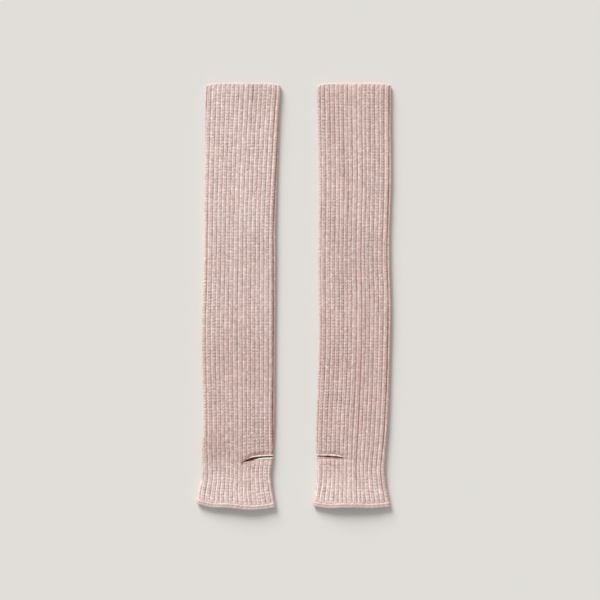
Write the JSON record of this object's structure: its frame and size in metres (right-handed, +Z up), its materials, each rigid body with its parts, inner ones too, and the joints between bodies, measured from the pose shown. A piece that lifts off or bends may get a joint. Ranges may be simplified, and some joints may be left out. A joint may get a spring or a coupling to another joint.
{
  "type": "pair of leg warmers",
  "caption": "Pair of long ribbed knit leg warmers laid flat side by side, each a soft tube with a heel slit and a flared welted hem.",
  "frame": {"origin": "middle of the pair's box on the surface that it lies on", "axes": "+Y towards the upper edges, +Z up from the surface, the piece on the picture's left at -X"},
  "size_m": [0.2728, 0.5982, 0.0111],
  "materials": {
    "rib_knit": "soft ribbed wool-blend knit, dusty pink, brushed nap",
    "edge_knit": "cast-off and slit edge in the same yarn, slightly paler",
    "hem_knit": "double-ridged welt in the same yarn"
  },
  "bodies": {
    "root": {"left_leg": "rib_knit", "left_top_edge": "edge_knit", "left_hem_welt": "hem_knit", "left_heel_edge": "edge_knit", "right_leg": "rib_knit", "right_top_edge": "edge_knit", "right_hem_welt": "hem_knit", "right_heel_edge": "edge_knit"}
  },
  "joints": []
}
